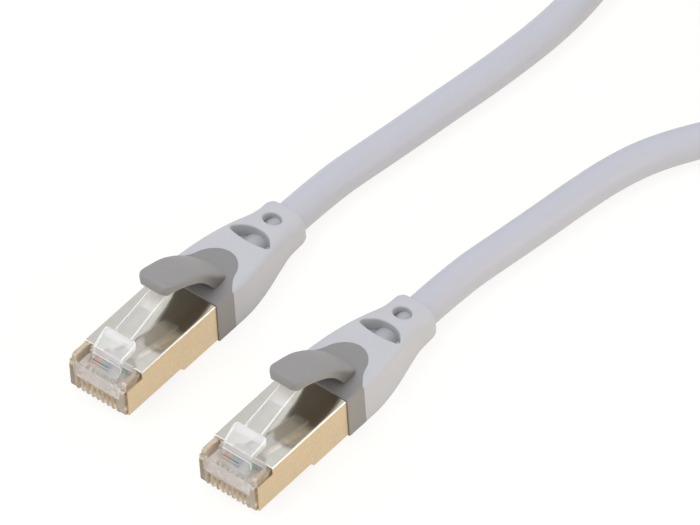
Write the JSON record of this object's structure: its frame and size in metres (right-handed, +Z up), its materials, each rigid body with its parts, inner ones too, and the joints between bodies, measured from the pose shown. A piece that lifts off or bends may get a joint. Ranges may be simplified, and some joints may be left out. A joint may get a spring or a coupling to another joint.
{
  "type": "ethernet patch cable",
  "caption": "Shielded ethernet patch cable: two clear plugs in metal screens with moulded boots and latch guards, joined by a round cable that lies in a tied coil.",
  "frame": {"origin": "on the surface the cable lies on, under the middle of the two plug ends", "axes": "+Z up, -X the way both plugs point, +Y from end b to end a"},
  "size_m": [0.1958, 0.0769, 0.0164],
  "materials": {
    "clear_plastic": "clear moulded plastic, smooth and slightly warm",
    "shell_metal": "thin bright sheet with a pale gold tint",
    "contact_gold": "gold-plated blades",
    "comb_plastic": "milky plastic",
    "braid_metal": "tinned copper braid",
    "ferrule_metal": "plain crimped steel",
    "boot_dark": "dark grey flexible plastic, satin",
    "boot_light": "light grey flexible plastic, satin",
    "jacket": "light grey cable jacket, satin",
    "tie_fabric": "dark grey hook-and-loop strap",
    "wire_white_orange": "thin wire insulation",
    "wire_orange": "thin wire insulation",
    "wire_white_green": "thin wire insulation",
    "wire_blue": "thin wire insulation",
    "wire_white_blue": "thin wire insulation",
    "wire_green": "thin wire insulation",
    "wire_white_brown": "thin wire insulation",
    "wire_brown": "thin wire insulation"
  },
  "bodies": {
    "root": {"plug_housing_a": "clear_plastic", "shield_shell_a": "shell_metal", "wire_comb_a": "comb_plastic", "screen_sleeve_a": "braid_metal", "crimp_ferrule_a": "ferrule_metal", "jacket_tail_a": "jacket", "inner_boot_a": "boot_dark", "outer_boot_a": "boot_light", "contact_1_a": "contact_gold", "conductor_1_a": "wire_white_orange", "contact_2_a": "contact_gold", "conductor_2_a": "wire_orange", "contact_3_a": "contact_gold", "conductor_3_a": "wire_white_green", "contact_4_a": "contact_gold", "conductor_4_a": "wire_blue", "contact_5_a": "contact_gold", "conductor_5_a": "wire_white_blue", "contact_6_a": "contact_gold", "conductor_6_a": "wire_green", "contact_7_a": "contact_gold", "conductor_7_a": "wire_white_brown", "contact_8_a": "contact_gold", "conductor_8_a": "wire_brown", "plug_housing_b": "clear_plastic", "shield_shell_b": "shell_metal", "wire_comb_b": "comb_plastic", "screen_sleeve_b": "braid_metal", "crimp_ferrule_b": "ferrule_metal", "jacket_tail_b": "jacket", "inner_boot_b": "boot_dark", "outer_boot_b": "boot_light", "contact_1_b": "contact_gold", "conductor_1_b": "wire_white_orange", "contact_2_b": "contact_gold", "conductor_2_b": "wire_orange", "contact_3_b": "contact_gold", "conductor_3_b": "wire_white_green", "contact_4_b": "contact_gold", "conductor_4_b": "wire_blue", "contact_5_b": "contact_gold", "conductor_5_b": "wire_white_blue", "contact_6_b": "contact_gold", "conductor_6_b": "wire_green", "contact_7_b": "contact_gold", "conductor_7_b": "wire_white_brown", "contact_8_b": "contact_gold", "conductor_8_b": "wire_brown", "cable_lead_a": "jacket", "cable_coil": "jacket", "cable_lead_b": "jacket", "coil_tie": "tie_fabric"},
    "latch_a": {"latch_a": "clear_plastic"},
    "guard_a": {"latch_guard_a": "boot_dark"},
    "latch_b": {"latch_b": "clear_plastic"},
    "guard_b": {"latch_guard_b": "boot_dark"}
  },
  "joints": [
    {"name": "guard_press_a", "type": "hinge", "parent": "root", "child": "guard_a", "pos_m": [0.00475, 0.01439, 0.00905], "axis": [0, -1, 0], "range_deg": [0, 21], "stiffness_Nm_per_rad": 0.05},
    {"name": "latch_flex_a", "type": "hinge", "parent": "root", "child": "latch_a", "pos_m": [-0.01886, 0.01439, 0.0069], "axis": [0, 1, 0], "range_deg": [0, 14], "stiffness_Nm_per_rad": 0.05},
    {"name": "guard_press_b", "type": "hinge", "parent": "root", "child": "guard_b", "pos_m": [0.00176, -0.01439, 0.00905], "axis": [0, -1, 0], "range_deg": [0, 21], "stiffness_Nm_per_rad": 0.05},
    {"name": "latch_flex_b", "type": "hinge", "parent": "root", "child": "latch_b", "pos_m": [-0.02184, -0.01439, 0.0069], "axis": [0, 1, 0], "range_deg": [0, 14], "stiffness_Nm_per_rad": 0.05}
  ],
  "couplings": [
    {"joint": "latch_flex_a", "follows": "guard_press_a", "ratio": 0.66667},
    {"joint": "latch_flex_b", "follows": "guard_press_b", "ratio": 0.66667}
  ]
}
